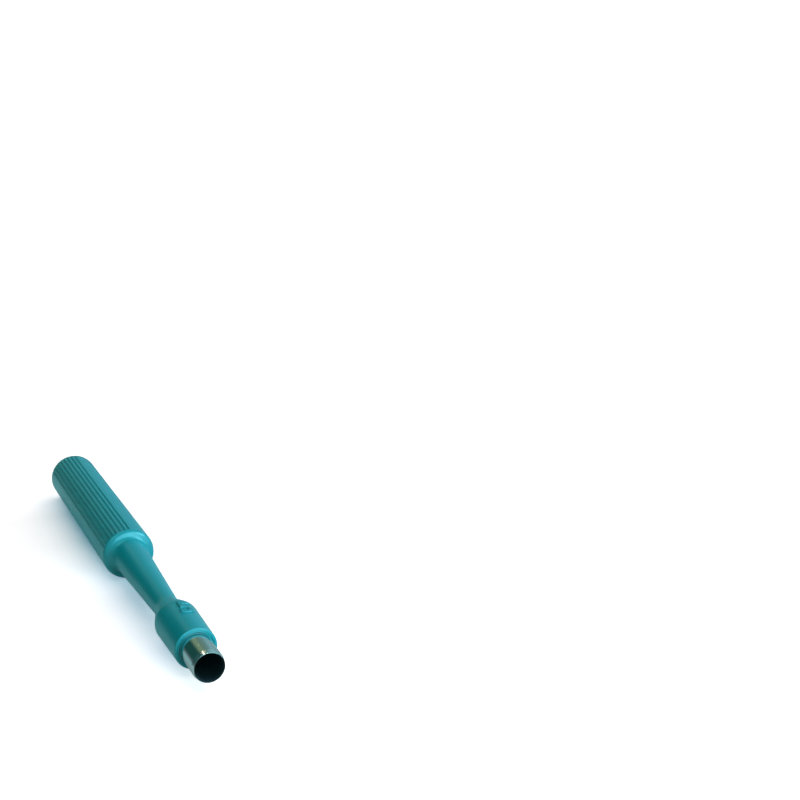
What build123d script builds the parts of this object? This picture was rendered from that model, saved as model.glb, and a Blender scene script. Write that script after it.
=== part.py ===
from build123d import *
import math
import os

# All lengths are in millimetres and all turns in degrees.
# Each piece is drawn along X, from the rear face of the grip at zero to the cutting edge.
# The finished punch lies on its grip on the floor, with +Z up: the neck and head are slimmer and stay clear.

# Cutting tube: a thin steel tube, ground on the outside to a sharp round edge
bore_radius = 2.5
tube_wall = 0.2
tube_reach = 7.3
tube_seat_depth = 9.0
bevel_length = 1.0
edge_wall = 0.02

# Grip: a round bar with two panels of lengthwise grooves and a smooth side on each hand between them
grip_radius = 4.83
grip_length = 52.6
rear_round = 2.5
panel_count = 2
panel_turn = 31.4
grooves_per_panel = 8
groove_step = 10.0
groove_radius = 0.24
groove_depth = 0.26
lip_ease = 0.05

# Collar: the smooth ring that closes the grooves, and the sloping shoulder in front of it
collar_width = 0.6
shoulder_slope = 0.7
collar_round_share = 0.64
shoulder_round_share = 0.74

# Neck: a long taper from the shoulder to the head
neck_length = 26.7
neck_rear_radius = 3.27
neck_front_radius = 2.16
neck_front_round = 8.0

# Head: flares out of the neck and holds the tube in a shallow recess with a rounded rim
flare_length = 5.4
head_length = 11.5
head_rear_radius = 3.77
head_front_radius = 3.54
head_rear_round = 3.0
rim_wall = 0.5
rim_round_share = 0.45
recess_depth = 0.3

# Fits and cuts
glue_gap = 0.03
overrun = 1.0

# Stations along the axis
groove_end = grip_length - collar_width
neck_start = grip_length + shoulder_slope
neck_end = neck_start + neck_length
head_start = neck_end + flare_length
head_end = head_start + head_length
recess_floor = head_end - recess_depth
seat_floor = head_end - tube_seat_depth
cutting_edge = head_end + tube_reach

# Radii and rounds that follow from the sizes above
tube_radius = bore_radius + tube_wall
seat_radius = tube_radius + glue_gap
recess_radius = head_front_radius - rim_wall
rim_round = rim_wall * rim_round_share
shoulder_step = grip_radius - neck_rear_radius
collar_round = shoulder_step * collar_round_share
shoulder_round = shoulder_step * shoulder_round_share


def turned(corners, rounds):
    """Solid of revolution about X of an outline of (station, radius) corners, each with its round."""
    outline = FilletPolyline(corners, radius=rounds)
    closing = Line(outline @ 1, outline @ 0)
    section = Plane.XZ * make_face(Curve() + [outline, closing])
    return revolve(section, Axis.X)


def turned_handle():
    """The handle before its grooves: grip, collar, neck, flare and head, with the tube's seat in front."""
    rounded_corners = [
        (0, grip_radius, rear_round),
        (grip_length, grip_radius, collar_round),
        (neck_start, neck_rear_radius, shoulder_round),
        (neck_end, neck_front_radius, neck_front_round),
        (head_start, head_rear_radius, head_rear_round),
        (head_end, head_front_radius, rim_round),
        (head_end, recess_radius, rim_round),
        (recess_floor, recess_radius, 0),
        (recess_floor, seat_radius, 0),
        (seat_floor, seat_radius, 0),
    ]
    corners = [(station, radius) for station, radius, _ in rounded_corners]
    rounds = [corner_round for _, _, corner_round in rounded_corners]
    return turned([(0, 0), *corners, (seat_floor, 0)], rounds)


def groove_turns():
    """Turns of all grooves about the axis: each panel is spread evenly about its own middle."""
    panel_step = 360 / panel_count
    first_turn = panel_turn - (grooves_per_panel - 1) / 2 * groove_step
    return [
        first_turn + panel * panel_step + groove * groove_step
        for panel in range(panel_count)
        for groove in range(grooves_per_panel)
    ]


def groove_cut():
    """Round-bottomed groove along the top of the grip, with eased lips, open behind and square in front."""
    centre_height = grip_radius - groove_depth + groove_radius
    ease_height = grip_radius - lip_ease
    half_width = math.sqrt(groove_radius**2 - (ease_height - centre_height) ** 2)
    top_height = grip_radius + overrun
    top_half_width = half_width + top_height - ease_height
    lips = Polygon(
        (-half_width, ease_height),
        (half_width, ease_height),
        (top_half_width, top_height),
        (-top_half_width, top_height),
        align=None,
    )
    profile = Pos(0, centre_height) * Circle(groove_radius) + lips
    return Pos(-overrun, 0, 0) * extrude(Plane.YZ * profile, overrun + groove_end)


def make_handle():
    """The one moulded handle: the turned blank with the grooves of both panels cut along its grip."""
    cuts = [Rot(turn, 0, 0) * groove_cut() for turn in groove_turns()]
    return turned_handle() - cuts


def make_blade():
    """The steel tube: its rear end stands on the floor of its seat, and its mouth is ground to an edge."""
    corners = [
        (seat_floor, bore_radius),
        (seat_floor, tube_radius),
        (cutting_edge - bevel_length, tube_radius),
        (cutting_edge, bore_radius + edge_wall),
        (cutting_edge, bore_radius),
    ]
    section = Plane.XZ * make_face(Polyline(corners, close=True))
    return revolve(section, Axis.X)


parts = {"handle": make_handle(), "blade": make_blade()}
place = Pos(-cutting_edge / 2, 0, grip_radius)
os.makedirs("parts", exist_ok=True)
for name, part in parts.items():
    export_step(place * part, f"parts/{name}.step")
    print(name, "volume", part.volume)

print("place of the rear face", place.position, "mouth at", (place * Pos(cutting_edge, 0, 0)).position)
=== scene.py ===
import math

import bmesh
import bpy
from mathutils import Matrix, Vector


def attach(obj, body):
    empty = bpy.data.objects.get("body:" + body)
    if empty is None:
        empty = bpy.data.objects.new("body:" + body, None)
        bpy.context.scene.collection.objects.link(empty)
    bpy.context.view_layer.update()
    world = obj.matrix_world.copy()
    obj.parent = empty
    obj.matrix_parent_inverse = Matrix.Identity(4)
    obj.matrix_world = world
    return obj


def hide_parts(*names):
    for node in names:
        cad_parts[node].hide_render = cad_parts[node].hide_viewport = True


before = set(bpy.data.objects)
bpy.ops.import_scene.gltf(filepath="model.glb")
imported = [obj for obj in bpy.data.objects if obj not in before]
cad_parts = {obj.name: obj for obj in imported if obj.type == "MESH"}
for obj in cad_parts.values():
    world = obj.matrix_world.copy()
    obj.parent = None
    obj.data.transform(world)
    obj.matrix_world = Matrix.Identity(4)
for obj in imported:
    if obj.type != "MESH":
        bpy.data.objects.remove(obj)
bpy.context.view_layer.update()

MM = 0.001

# The punch lies along X. Stations are millimetres from the rear face of the grip, which is at rear_x.
# Turns about the axis are degrees from straight up towards the near side.
rear_x = -52.1
axis_height = 4.83

# Handle: one moulding of grip, collar, neck, flare and head
grip_radius = 4.83
grip_end = 52.6
rear_round = 2.5
collar_round = 1.0
neck_start = 53.3
shoulder_round = 1.15
neck_end = 80.0
neck_front_round = 8.0
head_start = 85.4
head_rear_round = 3.0
head_end = 96.9
neck_rear_radius = 3.27
neck_front_radius = 2.16
head_rear_radius = 3.77
head_front_radius = 3.54
rim_round = 0.225
recess_radius = 3.04
recess_round = 0.05
recess_floor = 96.6
seat_radius = 2.73
seat_floor = 87.9

# Grooves: two panels of eight. The grip has room for groove_places of them all round, each with one row
# of vertices for every number in groove_section, which is the share of the depth that the row is pressed.
groove_places = 36
grooves_per_panel = 8
panel_turn = 31.4
groove_end = 52.0
groove_end_ramp = 0.12
groove_depth = 0.26
groove_section = (1.0, 0.94, 0.66, 0.1, 0.0, 0.0, 0.0, 0.1, 0.66, 0.94)

# Size digit: raised on the head, its top towards the grip
digit_middle = 88.5
digit_turn = -13.0
digit_height = 4.0
digit_share_of_font_size = 0.7
digit_rise = 0.27
digit_stroke_gain = 0.02
digit_half_core = 0.16
digit_edge_round = 0.16
digit_edge_segments = 3
digit_longest_edge = 0.5
digit_cuts = 3

# Blade: thin tube with a ground bevel
bore_radius = 2.5
tube_radius = 2.7
bevel_start = 103.2
bevel_start_round = 0.05
cutting_edge = 104.2
edge_radius = 2.52
edge_nose = ((0.01, edge_radius), (0.0, bore_radius + 0.005), (0.03, bore_radius))
blade_facets = 160

# Meshes: how finely rounds are divided, what counts as one vertex or station, and from which angle
# between faces an edge stays sharp
fewest_round_segments = 4
degrees_per_segment = 9
weld_distance = 1e-4
station_slack = 0.05
handle_sharp_angle = 35
blade_sharp_angle = 12

# Plastic and steel
deep_teal = (0.0, 0.215, 0.24)
light_teal = (0.0, 0.265, 0.295)
plastic_roughness = 0.28
flow_scale = 260.0
flow_detail = 3.0
flow_roughness = 0.55
skin_scale = 900.0
flow_in_bump = 0.7
skin_in_bump = 0.3
bump_strength = 0.01
bump_distance = 0.0004
drawn_steel = (0.62, 0.57, 0.55)
# Painted shade: the bore's near-black colour
bore_painted_shade = (0.1, 0.12, 0.13)
bore_margin = 0.01
drawing_marks = (60.0, 9000.0, 9000.0)
grinding_marks = (24000.0, 300.0, 300.0)
tube_roughness = 0.11
drawn_roughness = 0.04
bevel_roughness = 0.03
ground_roughness = 0.1
bore_roughness = 0.25

# Colours along ramps. Those of the table and of its glow run over ramp_reach, in metres, to each side of the
# middle, and the front lamp's runs from front_ramp_start.
ramp_reach = 0.05
front_ramp_scale = 0.6
front_ramp_start = 0.3
# Painted reflection: the table's colours where the punch mirrors it
painted_table_reflection = (
    (0.2, (0.04, 0.1, 0.11)),
    (0.33, (0.19, 0.52, 0.58)),
    (0.5, (0.19, 0.52, 0.58)),
    (0.57, (0.12, 0.28, 0.33)),
    (0.8, (0.3, 0.57, 0.62)),
)
# Painted light: glow on the table that changes along the punch to lighten or deepen its shadow
painted_table_light = (
    (0.0, (0.28, 0.4, 0.46)),
    (0.1, (0.1, 0.23, 0.29)),
    (0.28, (0.1, 0.24, 0.3)),
    (0.4, (0.2, 0.35, 0.42)),
    (0.48, (0.33, 0.48, 0.57)),
    (0.6, (0.19, 0.34, 0.43)),
    (0.76, (0.21, 0.36, 0.45)),
    (0.87, (0.46, 0.58, 0.67)),
    (0.95, (0.65, 0.74, 0.78)),
)
# Painted reflections: the backdrop's bands, which only the gloss of the punch shows
painted_reflection_bands = (
    (0.0, (0.02, 0.09, 0.09)),
    (0.33, (0.01, 0.09, 0.08)),
    (0.42, (0.22, 0.38, 0.25)),
    (0.48, (0.24, 0.41, 0.27)),
    (0.56, (0.16, 0.31, 0.25)),
    (0.63, (0.16, 0.32, 0.28)),
    (0.7, (0.16, 0.34, 0.36)),
    (0.76, (0.23, 0.5, 0.56)),
)
front_glow = (
    (0.1, (0.2, 0.5, 0.6)),
    (0.3, (0.15, 0.4, 0.48)),
    (0.47, (0.22, 0.6, 0.7)),
    (0.62, (0.14, 0.37, 0.45)),
    (0.8, (0.05, 0.14, 0.18)),
)

# Table, in metres. Its mirror image is a painted reflection, dark in a strip on the far side of the grip's
# rear, and its glow grows with distance.
table_half_size = 6.0
table_white = (0.9, 0.9, 0.9)
painted_dark_reflection = (0.05, 0.12, 0.14)
dark_strip_near = 0.003
dark_strip_from = -0.04
dark_strip_to = -0.065
far_from = 0.3
far_to = 1.5
far_gain = 0.9
glow_in_mirror = 0.25

# World: the light that it gives, and its level for the camera and in gloss, where its cyan tint is a painted
# reflection
sky_light = 0.02
sky_seen = 1.06
sky_mirrored = 0.84
sky_white = (0.95, 0.98, 1.0)
painted_sky_reflection = (0.45, 0.88, 0.98)

# Cards, in metres. The backdrop stands upright behind the punch, with painted reflections in its bands, and
# the others face it.
backdrop_x = -0.45
backdrop_half_width = 1.0
backdrop_height = 1.2
glint_place = (-0.44, -0.1, 0.57)
glint_size = (0.07, 0.07)
glint_strength = 9.0
glint_colour = (1.0, 0.97, 0.8)
front_place = (0.797, 0.338, 0.5)
front_size = (1.7, 0.72)
front_strength = 11.0
side_place = (0.34, 0.74, 0.58)
side_size = (0.75, 0.4)
side_strength = 11.0
side_colour = (0.3, 0.85, 1.0)

# Windows: name, direction that the light comes from, strength, spread in degrees, and colour
punch_windows = (
    ("side_window", (0.6, 0.75, 0.3), 2.8, 60, (0.25, 0.73, 1.0)),
    ("back_window", (-0.6, 0.5, 0.62), 1.35, 34, (0.36, 0.88, 1.0)),
    ("front_window", (0.95, 0.25, 0.35), 1.4, 50, (0.28, 0.98, 1.0)),
    ("left_window", (0.0, -0.6, 0.8), 0.85, 34, (0.22, 0.92, 0.95)),
    ("right_window", (0.6, 0.5, 0.62), 0.4, 34, (0.3, 0.92, 1.0)),
    ("over_window", (0.35, 0.2, 0.9), 0.3, 34, (0.25, 1.0, 0.8)),
)
table_windows = (
    ("table_window", (0.1, 0.22, 0.95), 3.05, 90, (0.92, 0.77, 0.71)),
    ("table_side_window", (0.1, 0.75, 0.65), 0.8, 60, (0.92, 0.77, 0.71)),
)

# Camera: place in metres, pitch and heading in degrees, lens and sensor in millimetres
camera_place = (0.238867, -0.053160, 0.100501)
camera_pitch = 74.658
camera_heading = 65.387
camera_lens = 61.158
camera_sensor = 36.0
camera_nearest = 0.001


class Value:
    """A shader socket that takes part in Python sums: each operator adds one Math node."""

    def __init__(self, board, socket):
        self.board = board
        self.socket = socket

    def _math(self, operation, *operands):
        inputs = {place: operand for place, operand in enumerate(operands)}
        return self.board.node("ShaderNodeMath", {"operation": operation}, inputs)

    def output(self, name):
        """Another output of the node that this socket belongs to."""
        return Value(self.board, self.socket.node.outputs[name])

    def __add__(self, other):
        return self._math("ADD", self, other)

    def __radd__(self, other):
        return self._math("ADD", other, self)

    def __mul__(self, other):
        return self._math("MULTIPLY", self, other)

    def __rmul__(self, other):
        return self._math("MULTIPLY", other, self)

    def __pow__(self, other):
        return self._math("POWER", self, other)

    def __rpow__(self, other):
        return self._math("POWER", other, self)

    def __lt__(self, other):
        return self._math("LESS_THAN", self, other)

    def __gt__(self, other):
        return self._math("GREATER_THAN", self, other)


class Board:
    """The node tree of one material or of the world."""

    def __init__(self, tree):
        self.tree = tree
        tree.nodes.clear()

    def node(self, kind, settings=None, inputs=None, output=0):
        """Adds a node: its settings are set first, then the values or links of its sockets.
        Colours are given as red, green and blue."""
        made = self.tree.nodes.new(kind)
        for name, value in (settings or {}).items():
            if name == "stops":
                while len(made.color_ramp.elements) < len(value):
                    made.color_ramp.elements.new(0.5)
                for element, (place, colour) in zip(made.color_ramp.elements, value):
                    element.position = place
                    element.color = (*colour, 1)
            else:
                setattr(made, name, value)
        for name, value in (inputs or {}).items():
            socket = made.inputs[name]
            if isinstance(value, Value):
                self.tree.links.new(value.socket, socket)
            else:
                socket.default_value = (*value, 1) if socket.type == "RGBA" else value
        return Value(self, made.outputs[output]) if made.outputs else None

    def place(self):
        """Object coordinates."""
        return self.node("ShaderNodeTexCoord", output=3)

    def split(self, vector):
        """The three parts of a vector."""
        parts = self.node("ShaderNodeSeparateXYZ", {}, {0: vector})
        return parts, parts.output("Y"), parts.output("Z")

    def noise(self, vector, scale, detail=2.0, roughness=0.5):
        inputs = {"Vector": vector, "Scale": scale, "Detail": detail, "Roughness": roughness}
        return self.node("ShaderNodeTexNoise", {}, inputs)

    def stretched(self, vector, scale):
        return self.node("ShaderNodeMapping", {}, {"Vector": vector, "Scale": scale})

    def mix(self, factor, first, second):
        """Colour between two others."""
        return self.node("ShaderNodeMix", {"data_type": "RGBA"}, {0: factor, 6: first, 7: second}, output=2)

    def ramp(self, factor, stops):
        return self.node("ShaderNodeValToRGB", {"stops": stops}, {0: factor})

    def share(self, value, start, end):
        """How far a value has come from start to end, from 0 to 1."""
        return self.node("ShaderNodeMapRange", {}, {"Value": value, "From Min": start, "From Max": end})

    def glow(self, colour, strength=1.0):
        return self.node("ShaderNodeEmission", {}, {"Color": colour, "Strength": strength})

    def ray_kinds(self):
        """Two values: one for rays from the camera, and one for rays that gloss or glass sends on."""
        camera = self.node("ShaderNodeLightPath", output="Is Camera Ray")
        return camera, camera.output("Is Glossy Ray") + camera.output("Is Transmission Ray")


def new_material(name):
    material = bpy.data.materials.new(name)
    material.use_nodes = True
    return material, Board(material.node_tree)


def finished(material, board, shader):
    board.node("ShaderNodeOutputMaterial", {}, {"Surface": shader})
    return material


def rounded_profile(bm, corners):
    """Open outline of (station, radius, round) corners above the axis, each corner bevelled to its round."""
    points = [Vector((station, 0, radius)) for station, radius, _ in corners]
    verts = [bm.verts.new(point) for point in points]
    for before, after in zip(verts, verts[1:]):
        bm.edges.new((before, after))
    for place in range(1, len(corners) - 1):
        corner_round = corners[place][2]
        if not corner_round:
            continue
        into = (points[place] - points[place - 1]).normalized()
        out = (points[place + 1] - points[place]).normalized()
        turn = into.angle(out)
        bmesh.ops.bevel(
            bm,
            geom=[verts[place]],
            offset=corner_round * math.tan(turn / 2),
            segments=max(fewest_round_segments, round(math.degrees(turn) / degrees_per_segment)),
            profile=0.5,
            affect="VERTICES",
            material=-1,
        )


def turned(bm, facets, start_turn=0):
    """Spins the outline in the bmesh once round X, and closes the poles."""
    bmesh.ops.spin(
        bm,
        geom=bm.verts[:] + bm.edges[:],
        cent=(0, 0, 0),
        axis=(1, 0, 0),
        dvec=(0, 0, 0),
        angle=2 * math.pi,
        steps=facets,
        use_merge=True,
    )
    start = Matrix.Rotation(math.radians(start_turn), 3, "X")
    bmesh.ops.rotate(bm, verts=bm.verts, cent=(0, 0, 0), matrix=start)
    bmesh.ops.remove_doubles(bm, verts=bm.verts, dist=weld_distance)
    bmesh.ops.recalc_face_normals(bm, faces=bm.faces)


def to_object(name, bm, material):
    mesh = bpy.data.meshes.new(name)
    bm.to_mesh(mesh)
    bm.free()
    thing = bpy.data.objects.new(name, mesh)
    bpy.context.scene.collection.objects.link(thing)
    mesh.materials.append(material)
    return thing


def to_piece(bm, name, material, replaced=None, sharp_angle=handle_sharp_angle):
    """Turns the bmesh into a piece of the punch: shading, place on the axis, and its ties to the frame."""
    for face in bm.faces:
        face.smooth = True
    for edge in bm.edges:
        edge.smooth = len(edge.link_faces) == 2 and edge.calc_face_angle(0) < math.radians(sharp_angle)
    bmesh.ops.translate(bm, verts=bm.verts, vec=(rear_x, 0, axis_height))
    bmesh.ops.scale(bm, verts=bm.verts, vec=(MM, MM, MM))
    piece = to_object(name, bm, material)
    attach(piece, "root")
    if replaced:
        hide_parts(replaced)
    return piece


def around(point):
    """Turn of a point about the axis, in degrees from straight up towards the near side."""
    return math.degrees(math.atan2(-point.y, point.z)) % 360


def cut_grooves(bm):
    """Presses the rows of the grip that lie in a groove down to the groove's rounded section."""
    rows = len(groove_section)
    pitch = 360 / groove_places
    first_groove = panel_turn - (grooves_per_panel - 1) / 2 * pitch
    run_out = rear_round - math.sqrt(rear_round**2 - (rear_round - groove_depth) ** 2)
    for station in (run_out, groove_end - groove_end_ramp, groove_end):
        everything = bm.verts[:] + bm.edges[:] + bm.faces[:]
        bmesh.ops.bisect_plane(bm, geom=everything, plane_co=(station, 0, 0), plane_no=(1, 0, 0))
    pressed = {}
    for vert in bm.verts:
        reach = math.hypot(vert.co.y, vert.co.z)
        if vert.co.x > groove_end - station_slack or reach < grip_radius - groove_depth:
            continue
        for panel in (0, 180):
            from_first = (around(vert.co) - panel - first_groove + 180) % 360 - 180
            groove = round(from_first / pitch)
            if 0 <= groove < grooves_per_panel:
                row = round((from_first - groove * pitch) / pitch * rows) % rows
                floor = grip_radius - groove_depth * groove_section[row]
                if floor < reach:
                    pressed.setdefault(round(floor / reach, 5), []).append(vert)
    for share, verts in pressed.items():
        bmesh.ops.scale(bm, verts=verts, vec=(1, share, share))
    bmesh.ops.recalc_face_normals(bm, faces=bm.faces)


def make_handle(material):
    bm = bmesh.new()
    rounded_profile(bm, [
        (0, 0, 0),
        (0, grip_radius, rear_round),
        (grip_end, grip_radius, collar_round),
        (neck_start, neck_rear_radius, shoulder_round),
        (neck_end, neck_front_radius, neck_front_round),
        (head_start, head_rear_radius, head_rear_round),
        (head_end, head_front_radius, rim_round),
        (head_end, recess_radius, rim_round),
        (recess_floor, recess_radius, recess_round),
        (recess_floor, seat_radius, 0),
        (seat_floor, seat_radius, 0),
        (seat_floor, 0, 0),
    ])
    turned(bm, groove_places * len(groove_section), panel_turn)
    cut_grooves(bm)
    return to_piece(bm, "moulded_handle", material, "handle")


def head_radius(station):
    share = (station - head_start) / (head_end - head_start)
    return head_rear_radius + (head_front_radius - head_rear_radius) * share


def make_size_digit(material):
    """The raised 5 on the head: a flat figure, thickened, then wrapped round the head."""
    figure = bpy.data.curves.new("size_digit", "FONT")
    figure.body = "5"
    figure.align_x = "CENTER"
    figure.size = digit_height / digit_share_of_font_size
    figure.offset = digit_stroke_gain
    figure.extrude = digit_half_core
    figure.bevel_depth = digit_edge_round
    figure.bevel_resolution = digit_edge_segments
    holder = bpy.data.objects.new("size_digit_outline", figure)
    mesh = bpy.data.meshes.new_from_object(holder)
    bpy.data.objects.remove(holder)
    bm = bmesh.new()
    bm.from_mesh(mesh)
    bmesh.ops.remove_doubles(bm, verts=bm.verts, dist=weld_distance)
    long_edges = [edge for edge in bm.edges if edge.calc_length() > digit_longest_edge]
    bmesh.ops.subdivide_edges(bm, edges=long_edges, cuts=digit_cuts)
    top = max(vert.co.y for vert in bm.verts)
    bottom = min(vert.co.y for vert in bm.verts)
    for vert in bm.verts:
        across, along, lift = vert.co
        station = digit_middle + (top + bottom) / 2 - along
        radius = head_radius(station) + digit_rise - (digit_half_core + digit_edge_round) + lift
        turn = math.radians(digit_turn) - across / head_rear_radius
        vert.co = (station, -radius * math.sin(turn), radius * math.cos(turn))
    bmesh.ops.recalc_face_normals(bm, faces=bm.faces)
    return to_piece(bm, "size_digit", material)


def make_blade(material):
    bm = bmesh.new()
    rounded_profile(bm, [
        (seat_floor, bore_radius, 0),
        (seat_floor, tube_radius, 0),
        (bevel_start, tube_radius, bevel_start_round),
        *((cutting_edge - back, radius, 0) for back, radius in edge_nose),
        (seat_floor, bore_radius, 0),
    ])
    turned(bm, blade_facets)
    return to_piece(bm, "cutting_tube", material, "blade", blade_sharp_angle)


def teal_plastic():
    """Teal plastic from a polished mould: slight flow clouds in the colour, a fine skin and a soft gloss."""
    material, board = new_material("handle_plastic")
    place = board.place()
    flow = board.noise(place, flow_scale, flow_detail, flow_roughness)
    skin = board.noise(place, skin_scale)
    bump = board.node("ShaderNodeBump", {}, {
        "Height": flow * flow_in_bump + skin * skin_in_bump,
        "Strength": bump_strength,
        "Distance": bump_distance,
    })
    return finished(material, board, board.node("ShaderNodeBsdfPrincipled", {}, {
        "Base Color": board.mix(flow, deep_teal, light_teal),
        "Roughness": plastic_roughness,
        "Specular IOR Level": 0.5,
        "Normal": bump,
    }))


def blade_steel():
    """Drawn steel: lengthwise drawing marks, ground rings on the bevel, and a rougher bore whose near-black
    colour is painted shade.
    """
    material, board = new_material("blade_steel")
    place = board.place()
    to_axis = {"Vector": place, "Location": (0.0, 0.0, -axis_height * MM)}
    along, side, height = board.split(board.node("ShaderNodeMapping", {}, to_axis))
    reach = (side * side + height * height) ** 0.5
    in_bore = reach < (bore_radius + bore_margin) * MM
    on_bevel = along > (bevel_start + rear_x) * MM
    streaks = board.noise(board.stretched(place, drawing_marks), 1.0)
    rings = board.noise(board.stretched(place, grinding_marks), 1.0)
    outside = streaks * drawn_roughness + tube_roughness
    bevel = (rings * ground_roughness + bevel_roughness) * on_bevel
    # Painted shade: the bore is near-black; its greater roughness is real
    return finished(material, board, board.node("ShaderNodeBsdfPrincipled", {}, {
        "Base Color": board.mix(in_bore, drawn_steel, bore_painted_shade),
        "Metallic": 1.0,
        "Roughness": outside + bevel + in_bore * bore_roughness,
    }))


def table_surface():
    """White table: its own windows cast the shadow on it, and a glow lifts it to white for the eye; the glow
    changes along the punch, painted light that lightens or deepens the shadow.
    Its mirror image in the punch is a painted reflection: duller, and differing from side to side."""
    material, board = new_material("white_table")
    seen, mirrored = board.ray_kinds()
    place = board.place()
    along, across, _ = board.split(place)
    ramp_scale = 0.5 / ramp_reach
    # Painted reflection: the table takes these colours only for glossy rays, darker in a strip at the grip's
    # rear
    painted_mirror_tint = board.ramp(across * ramp_scale + 0.5, painted_table_reflection)
    rear = board.share(along, dark_strip_from, dark_strip_to)
    painted_mirror_tint = board.mix(rear * (across > dark_strip_near), painted_mirror_tint, painted_dark_reflection)
    white = board.mix(mirrored, table_white, painted_mirror_tint)
    distance = board.node("ShaderNodeVectorMath", {"operation": "LENGTH"}, {0: place}, output="Value")
    far = board.share(distance, far_from, far_to)
    # Painted light: the glow lifts the table to white, and where it changes along the punch it lightens or
    # deepens the shadow
    lift = board.ramp(along * ramp_scale + 0.5, painted_table_light)
    strength = (seen + mirrored * glow_in_mirror) * (far * far_gain + 1.0)
    table = board.node("ShaderNodeBsdfDiffuse", {}, {"Color": white})
    return finished(
        material, board, board.node("ShaderNodeAddShader", {}, {0: table, 1: board.glow(lift, strength)})
    )


def painted_reflection_surface():
    """Painted reflections: soft bands across the backdrop, from dark over olive to a cool grey, that only the
    gloss of the punch shows.
    """
    material, board = new_material("painted_reflection_bands")
    _, across, _ = board.split(board.place())
    return finished(material, board, board.glow(board.ramp(across + 0.5, painted_reflection_bands)))


def front_lamp_surface():
    """Cool glow in front of the punch, stronger in its middle, for the gloss of what faces forward."""
    material, board = new_material("front_lamp")
    _, across, _ = board.split(board.place())
    colour = board.ramp(across * front_ramp_scale + front_ramp_start, front_glow)
    return finished(material, board, board.glow(colour, front_strength))


def lamp_surface(name, strength, colour):
    material, board = new_material(name)
    return finished(material, board, board.glow(colour, strength))


def to_stage(name, bm, material):
    thing = to_object(name, bm, material)
    return thing


def to_card(name, bm, material):
    """Puts a card on the stage that only the gloss of the punch shows."""
    card = to_stage(name, bm, material)
    card.visible_camera = False
    card.visible_diffuse = False
    card.visible_shadow = False


def make_table():
    bm = bmesh.new()
    bmesh.ops.create_grid(bm, x_segments=2, y_segments=2, size=table_half_size)
    return to_stage("table", bm, table_surface())


def make_card(name, material, middle, size):
    """Flat card of the given width and height that faces the punch."""
    bm = bmesh.new()
    bmesh.ops.create_grid(bm, x_segments=1, y_segments=1, size=0.5)
    bmesh.ops.scale(bm, verts=bm.verts, vec=(*size, 1))
    facing = (-Vector(middle)).to_track_quat("Z", "Y").to_matrix()
    bmesh.ops.rotate(bm, verts=bm.verts, cent=(0, 0, 0), matrix=facing)
    bmesh.ops.translate(bm, verts=bm.verts, vec=middle)
    to_card(name, bm, material)


def make_backdrop():
    """Upright card of painted reflection bands behind the punch, standing on the table."""
    bm = bmesh.new()
    bmesh.ops.create_grid(bm, x_segments=1, y_segments=1, size=0.5)
    upright = Matrix.Rotation(math.radians(90), 3, "Y")
    bmesh.ops.rotate(bm, verts=bm.verts, cent=(0, 0, 0), matrix=upright)
    bmesh.ops.scale(bm, verts=bm.verts, vec=(1, 2 * backdrop_half_width, backdrop_height))
    bmesh.ops.translate(bm, verts=bm.verts, vec=(backdrop_x, 0, backdrop_height / 2))
    to_card("backdrop", bm, painted_reflection_surface())


def make_world():
    world = bpy.data.worlds.new("studio")
    bpy.context.scene.world = world
    world.use_nodes = True
    board = Board(world.node_tree)
    seen, mirrored = board.ray_kinds()
    # Painted reflection: the sky is tinted cyan where the punch mirrors it
    sky = board.node("ShaderNodeBackground", {}, {
        "Color": board.mix(mirrored, sky_white, painted_sky_reflection),
        "Strength": sky_light + seen * sky_seen + mirrored * sky_mirrored,
    })
    board.node("ShaderNodeOutputWorld", {}, {"Surface": sky})


def add_window(name, from_where, strength, spread, colour, lit):
    """Soft daylight from far away, which lights only the things given. Everything else still casts shadows."""
    lamp = bpy.data.lights.new(name, "SUN")
    lamp.energy = strength
    lamp.angle = math.radians(spread)
    lamp.color = colour
    holder = bpy.data.objects.new(name, lamp)
    bpy.context.scene.collection.objects.link(holder)
    holder.rotation_euler = (-Vector(from_where)).to_track_quat("-Z", "Y").to_euler()
    receivers = bpy.data.collections.new(f"lit_by_{name}")
    for thing in lit:
        receivers.objects.link(thing)
    holder.light_linking.receiver_collection = receivers


def make_camera():
    camera = bpy.data.cameras.new("view")
    camera.sensor_width = camera_sensor
    camera.lens = camera_lens
    camera.clip_start = camera_nearest
    holder = bpy.data.objects.new("view", camera)
    bpy.context.scene.collection.objects.link(holder)
    holder.location = camera_place
    holder.rotation_euler = (math.radians(camera_pitch), 0, math.radians(camera_heading))
    bpy.context.scene.camera = holder


plastic = teal_plastic()
steel = blade_steel()
punch = [make_handle(plastic), make_size_digit(plastic), make_blade(steel)]
table = make_table()
make_backdrop()
make_card("glint_lamp", lamp_surface("glint_lamp", glint_strength, glint_colour), glint_place, glint_size)
make_card("front_lamp", front_lamp_surface(), front_place, front_size)
make_card("side_lamp", lamp_surface("side_lamp", side_strength, side_colour), side_place, side_size)
make_world()
for window in punch_windows:
    add_window(*window, punch)
for window in table_windows:
    add_window(*window, [table])
make_camera()
bpy.context.scene.view_settings.view_transform = "Standard"
